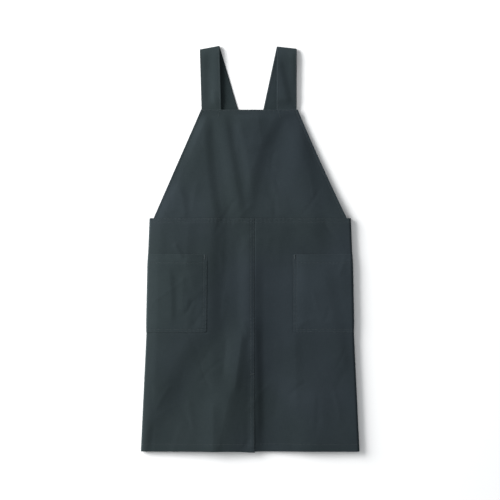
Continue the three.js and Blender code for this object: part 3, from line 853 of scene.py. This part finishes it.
# Bib. A trapezoid of the same canvas that is sewn under the top edge of the skirt. Its top edge is
# turned in wide, to take the straps, and its slanting sides have a narrow turned edge.
BIB_TOP_Y = 342.5
BIB_TOP_HALF = 119.2
BIB_WAIST_HALF = 238
BIB_LEAN = -1.8
BIB_HOLLOW = 2.0
BIB_TUCK = 12
BIB_HEM = 24
SIDE_HEM = 8
SEAM_DROP = 1.05
BIB_TOP_Z = 8.5
BIB_EDGE_SAG = 1.6
BIB_EDGE_RISE = 45
BIB_SWELL = 0.4
BIB_WORN = 0.3
SLANT_COSINE = 0.914
TOP_CALM = (2, 24)
SIDE_ROW = 6.5
TOP_ROW = 2
TOP_ROW_END = 0.985
SIDE_ROW_END = 1
# The bib is laid in shares of its half width. The lines along its slanting sides are in millimetres
# half way up.
BIB_STEP = 0.002
BIB_THREAD = 0.0128
BIB_MID_HALF = 180
SIDE_LINES = (*EDGE_LINES, SIDE_ROW, 9, 12)
BOX_DEEP = 22
STRAP_TUCK = 30
STRAP_HALF = 24.4
STRAP_ROOTS = (-95.7, 90.2)
BOX_INSET = 3
bib_canvas = canvas("slate_canvas_bib", (0.0134, 0.0204, 0.0239), (0.0302, 0.0407, 0.0458))


def bib_half(y):
    return np.interp(y, [WAIST_Y, BIB_TOP_Y], [BIB_WAIST_HALF, BIB_TOP_HALF])


def bib_middle(y):
    return np.interp(y, [WAIST_Y, BIB_TOP_Y], [0, BIB_LEAN])


def bib_height(x, y):
    """Height of the middle of its cloth, which sags a little at the sides and lies calm along the top."""
    inside = bib_half(y) - np.abs(x - bib_middle(y))
    at_seam = np.where(x < 0, side_fold(-1, y)[1], side_fold(1, y)[1]) - np.abs(x)
    calm = np.where(y > WAIST_Y, ease(0, SIDE_FADE, inside), ease(0, SIDE_FADE, at_seam))
    top_calm = ease(BIB_TOP_Y - TOP_CALM[0], BIB_TOP_Y - TOP_CALM[1], y)
    sag = BIB_EDGE_SAG * (1 - ease(0, BIB_EDGE_RISE, inside)) * ease(WAIST_Y, 2 * WAIST_Y, y)
    low = np.where(x < 0, front_base(-1, at_seam), front_base(1, at_seam)) - SEAM_DROP
    base = low + (BIB_TOP_Z - low) * ease(WAIST_Y, BIB_TOP_Y, y)
    return base + (front_shape(x, y) * calm - sag) * top_calm + BIB_SWELL * swell(y - WAIST_Y)


def bib_point(share, y):
    up = (y - WAIST_Y) / (BIB_TOP_Y - WAIST_Y)
    hollow = BIB_HOLLOW * np.maximum(share, 0) ** 2 * 4 * np.maximum(up * (1 - up), 0)
    x = share * bib_half(y) + bib_middle(y) - hollow
    return np.stack([x, y + np.zeros_like(x), bib_height(x, y)], axis=-1)


def bib_face(share, y, extra=0.0):
    slant = math.atan2(BIB_WAIST_HALF - BIB_TOP_HALF, BIB_TOP_Y - WAIST_Y)
    from_side = (1 - np.abs(share)) * bib_half(y) * math.cos(slant)
    from_top = BIB_TOP_Y - y
    outer, thick, edge = turned_edge([(from_side, SIDE_HEM, 0), (from_top, BIB_HEM, 0)], 0)
    outer = outer + sewn_in(from_side - SIDE_ROW, y)
    outer = outer + sewn_in(from_top - TOP_ROW, share * BIB_TOP_HALF)
    normal = outward(bib_point, share, y, step_u=BIB_STEP)
    return bib_point(share, y) + normal * (outer + extra)[..., None], normal, thick, edge


def bib_lay(share, y):
    place, _, thick, edge = bib_face(share, y)
    return place, thick, place[:, :2], BIB_WORN * worn(edge)


def bib_surface(share, y):
    place, normal, *_ = bib_face(share, y, STITCH_RISE)
    return place, normal


half_lines = spread([0, *(1 - d / BIB_MID_HALF for d in reversed(SIDE_LINES))], BIB_THREAD)
bib_across = np.concatenate([-half_lines[:0:-1], half_lines])
bib_along = spread(
    [WAIST_Y - BIB_TUCK, WAIST_Y]
    + [WAIST_Y + d for d in reversed(DITCH_LINES)]
    + [BIB_TOP_Y - d for d in (BIB_HEM + PAST_HEM, TOP_ROW, *reversed(EDGE_LINES))],
    THREAD_STEP,
)
bib = cut_cloth("bib_cloth", bib_across, bib_along, bib_lay, "bib")
bib.data.materials.append(bib_canvas)

top_row = BIB_TOP_Y - TOP_ROW
bib_rows = [sew_row(bib_surface, straight(-TOP_ROW_END, top_row, TOP_ROW_END, top_row))]
for edge in (-1, 1):
    ys = np.linspace(WAIST_Y + SIDE_ROW_END, BIB_TOP_Y - SIDE_ROW_END, 500)
    inset = SIDE_ROW / SLANT_COSINE / bib_half(ys)
    bib_rows.append(sew_row(bib_surface, np.stack([edge * (1 - inset), ys], axis=1)))
box_low = BIB_TOP_Y - BOX_DEEP
for root in STRAP_ROOTS:
    for out in (BOX_INSET - STRAP_HALF, STRAP_HALF - BOX_INSET):
        at = (root + out - BIB_LEAN) / BIB_TOP_HALF
        bib_rows.append(sew_row(bib_surface, straight(at, box_low, at, top_row, points=80)))
bib_thread = stitches("stitches_bib", bib_rows)

# Straps. Bands of canvas folded to two layers and stitched along both edges. Each is sewn behind the
# top of the bib, folds over at the shoulder and runs down under the bib to the other back panel.
STRAP_CLOTH = 1.4
STRAP_END_Y = 44
STRAP_RISE = 30
FOLD_TILT = 0.4
TILT_RISE = 60
STRAP_CROWN = 2.0
BACK_RISE_END = 20
CROWN_RISE = 30
CROWN_CALM = 12
SEAT_END = 1
STRAP_WORN = 0.6
CROWN_WORN = 0.5
CROWN_WORN_FROM = (26, 6)
# Painted shade: the back runs, which lie below the front runs, are darkened.
BACK_RUN_PAINTED_SHADE = 0.6
# Soft folds of the front runs, in the columns of the folds above.
STRAP_FOLDS = [
    (-101, 500, -103, 330, 0, 16, 20, -0.9),
    (62, 478, 94, 340, 0, 40, 18, 1.6),
    (104, 500, 108, 400, 0, 14, 12, 0.5),
    (-92, 395, -82, 335, 0, 10, 12, 0.6),
]
STRAP_SEAT = CLOTH / 2 + HEM_EXTRA + GAP + STRAP_CLOTH / 2
STRAP_FLOOR_Z = STRAP_CLOTH / 2 + FLOOR_GAP
STRAP_OVER = STRAP_CLOTH + GAP
STRAP_SEAT_Z = CLOTH + HEM_EXTRA + GAP + STRAP_CLOTH / 2 + FLOOR_GAP
BEND_FROM_Y = 335
STRAP_EDGE_LINES = (0, 0.1, 0.3, 0.7, 1.6)
STRAP_ROW = 3.2
STRAP_ROW_END = 6
STRAP_PUCKER = 0.6
CROWN_STEP = 1.6
ROLL_LINES = 16
ROLL_PAST = 1.4
BACK_RUN_STEP = 3
SKEW_FROM = 60
strap_canvas = canvas("slate_canvas_band", (0.0142, 0.0226, 0.0246), (0.0332, 0.0444, 0.0488))


def strap(name, root_x, lean, turn, fold_y, fold_height, tilt, back_tilt, end_x, height_y, height_z):
    """One strap: where it leaves the bib and how far it leans there, the turn, place and height of its
    fold, the tilts of its runs, where it ends, and the heights of its back run along the apron."""
    lean, turn = math.radians(lean), math.radians(turn)
    up = np.array([-math.sin(lean), math.cos(lean)])
    right = np.array([up[1], -up[0]])
    crease = np.array([math.cos(turn), math.sin(turn)])
    over = np.array([-crease[1], crease[0]])
    root = np.array([root_x, BIB_TOP_Y]) - up * STRAP_TUCK / up[1]
    run = (fold_y - BIB_TOP_Y + STRAP_TUCK) / up[1]
    fold = root + up * run
    down = crease * (up @ crease) - over * (up @ over)
    mid_radius = (fold_height - STRAP_FLOOR_Z - back_tilt / 2) / 2
    bend = end_x - (fold[0] + down[0] * (STRAP_END_Y - fold_y) / down[1])

    def point(across, along):
        flat = root + along[..., None] * up + across[..., None] * right
        sideways = (flat - fold) @ crease
        fold_z = fold_height + FOLD_TILT * tilt * sideways / STRAP_HALF
        back_rise = back_tilt * (STRAP_HALF - across) / (2 * STRAP_HALF)
        radius = (fold_z - STRAP_FLOOR_Z - back_rise) / 2
        past = (flat - fold) @ over + radius - mid_radius
        rolled = np.clip(past / radius, 0, np.pi)
        beyond = np.maximum(past - np.pi * radius, 0)
        reach = np.minimum(past, 0) + radius * np.sin(rolled) - beyond
        place = fold + sideways[..., None] * crease + reach[..., None] * over
        seat = bib_height(flat[..., 0], np.minimum(flat[..., 1], BIB_TOP_Y)) - STRAP_SEAT
        free = fold_z + (1 - FOLD_TILT) * tilt * sideways / STRAP_HALF * ease(0, TILT_RISE, -past)
        before = np.clip(-past / CROWN_RISE, 0, 1)
        free = free + STRAP_CROWN * before * (2 - before)
        free = free + relief(flat[..., 0], flat[..., 1], STRAP_FOLDS) * ease(0, CROWN_CALM, -past)
        front = seat + (free - seat) * ease(BIB_TOP_Y + SEAT_END, BIB_TOP_Y + STRAP_RISE, flat[..., 1])
        low = np.interp(place[..., 1], height_y, height_z)
        low = low + back_rise * ease(BEND_FROM_Y, fold_y - BACK_RISE_END, place[..., 1])
        roll_z = fold_z - radius + radius * np.cos(rolled)
        z = np.where(past <= 0, front, np.where(beyond > 0, low, roll_z))
        bent = np.maximum(BEND_FROM_Y - place[..., 1], 0) / (BEND_FROM_Y - STRAP_END_Y)
        shift = bend * np.where(beyond > 0, bent, 0) ** 2
        return np.stack([place[..., 0] + shift, place[..., 1], z], axis=-1)

    def face(across, along, extra=0.0):
        edge = STRAP_HALF - np.abs(across)
        radius_edge = STRAP_CLOTH / 2
        short = np.clip(radius_edge - edge, 0, None)
        dip = radius_edge - np.sqrt(np.maximum(radius_edge**2 - short**2, 0))
        outer = STRAP_CLOTH / 2 - dip + STRAP_PUCKER * sewn_in(edge - STRAP_ROW, along)
        normal = outward(point, across, along)
        thick = np.maximum(STRAP_CLOTH - 2 * dip, LEAST_CLOTH)
        return point(across, along) + normal * (outer + extra)[..., None], normal, thick, edge

    slant = turn - lean
    roll = np.pi * (fold_height - STRAP_FLOOR_Z) / 2 / math.cos(slant)
    back_run = (fold_y - STRAP_END_Y) / math.cos(2 * turn - lean)
    whole = run + roll + back_run
    roll_end = run + ROLL_PAST * roll
    along_lines = np.concatenate([
        spread([0, run - STRAP_HALF], THREAD_STEP),
        spread([run - STRAP_HALF, run], CROWN_STEP)[1:],
        spread([run, roll_end], roll / ROLL_LINES)[1:],
        spread([roll_end, whole], BACK_RUN_STEP)[1:],
    ])
    edge_lines = [STRAP_HALF - d for d in (STRAP_ROW, *reversed(STRAP_EDGE_LINES))]
    half_width = spread([0, *edge_lines], THREAD_STEP)
    across_lines = np.concatenate([-half_width[:0:-1], half_width])

    def lay(across, along):
        skewed = along + across * math.tan(slant) * ease(run - SKEW_FROM, run - STRAP_HALF, along)
        place, _, thick, edge = face(across, skewed)
        crown = ease(run - CROWN_WORN_FROM[0], run - CROWN_WORN_FROM[1], along)
        wear_and_painted_light = STRAP_WORN * worn(edge) + CROWN_WORN * crown
        # Painted shade darkens the back run below the front run, and the crown's lightening stops there.
        wear_and_painted_light = wear_and_painted_light - (CROWN_WORN + BACK_RUN_PAINTED_SHADE) * ease(run, roll_end, along)
        return place, thick, np.stack([across, skewed], axis=1), wear_and_painted_light

    def surface(across, along):
        place, normal, *_ = face(across, along, STITCH_RISE)
        return place, normal

    def reverse(across, along):
        place, normal, thick, _ = face(across, along)
        return place - normal * (thick + STITCH_RISE)[..., None], -normal

    piece = cut_cloth(f"{name}_cloth", across_lines, along_lines, lay, name)
    piece.data.materials.append(strap_canvas)
    rows = []
    row_end = whole - STRAP_ROW_END
    for edge in (STRAP_ROW - STRAP_HALF, STRAP_HALF - STRAP_ROW):
        rows.append(sew_row(surface, straight(edge, ROW_END, edge, row_end, points=1500)))
        rows.append(sew_row(reverse, straight(edge, roll_end, edge, row_end, points=1200)))
    thread_piece = stitches(f"stitches_{name}", rows)


strap(
    "strap_left",
    root_x=STRAP_ROOTS[0],
    lean=1.6,
    turn=8.9,
    fold_y=493.3,
    fold_height=6.3,
    tilt=1.8,
    back_tilt=1.5,
    end_x=41,
    height_y=[84, 112],
    height_z=[STRAP_SEAT_Z, STRAP_FLOOR_Z],
)
seat_over, floor_over = STRAP_SEAT_Z + STRAP_OVER, STRAP_FLOOR_Z + STRAP_OVER
strap(
    "strap_right",
    root_x=STRAP_ROOTS[1],
    lean=-0.1,
    turn=-6.1,
    fold_y=492.6,
    fold_height=7.0,
    tilt=-0.8,
    back_tilt=0,
    end_x=-35,
    height_y=[54, 76, 108, 150, 255, 300],
    height_z=[STRAP_SEAT_Z, seat_over, seat_over, floor_over, floor_over, STRAP_FLOOR_Z],
)

# Table. A plain white surface with no edge in view, lit as for a catalogue page: one wide soft light
# low on the upper left and cool white all round. The camera looks straight down.
TABLE_REACH = 40
table_shape = bmesh.new()
bmesh.ops.create_grid(table_shape, x_segments=1, y_segments=1, size=TABLE_REACH)
table_mesh = bpy.data.meshes.new("table")
table_shape.to_mesh(table_mesh)
table_shape.free()
table = bpy.data.objects.new("table", table_mesh)
bpy.context.collection.objects.link(table)
white = bpy.data.materials.new("white_table")
white.use_nodes = True
white_shader = white.node_tree.nodes["Principled BSDF"]
white_shader.inputs["Base Color"].default_value = (0.95, 0.95, 0.95, 1)
white_shader.inputs["Roughness"].default_value = 0.9
white_shader.inputs["Specular IOR Level"].default_value = 0.1
table_mesh.materials.append(white)

LIGHT_AWAY = 5
LIGHT_UP = math.radians(19)
LIGHT_ROUND = math.radians(155)
lamp = bpy.data.lights.new("softbox", "AREA")
lamp.shape = "RECTANGLE"
lamp.size = 4.1
lamp.size_y = 2.85
lamp.energy = 745
softbox = bpy.data.objects.new("softbox", lamp)
light_out = LIGHT_AWAY * math.cos(LIGHT_UP)
softbox.location = (
    light_out * math.cos(LIGHT_ROUND),
    light_out * math.sin(LIGHT_ROUND),
    LIGHT_AWAY * math.sin(LIGHT_UP),
)
softbox.rotation_euler = (math.pi / 2 - LIGHT_UP, 0, LIGHT_ROUND + math.pi / 2)
bpy.context.collection.objects.link(softbox)
world = bpy.data.worlds.new("room")
world.use_nodes = True
walls = world.node_tree.nodes["Background"]
walls.inputs["Color"].default_value = (0.96, 0.985, 1, 1)
walls.inputs["Strength"].default_value = 0.475
bpy.context.scene.world = world
bpy.context.scene.view_settings.view_transform = "Standard"

# The apron is one metre and 406.4 pixels long in a picture of 500 pixels, and a little off its middle.
PIXEL = 1.0 / 406.4
IMAGE_WIDE = 500 * PIXEL
PICTURE_MIDDLE = (-0.15 * PIXEL, -1.4 * PIXEL)
lens = bpy.data.cameras.new("camera")
lens.lens = 85
lens.sensor_width = 36
lens.clip_end = 50
camera = bpy.data.objects.new("camera", lens)
camera_up = FRONT_Z * MM + IMAGE_WIDE * lens.lens / lens.sensor_width
camera.location = (*PICTURE_MIDDLE, camera_up)
bpy.context.collection.objects.link(camera)
bpy.context.scene.camera = camera
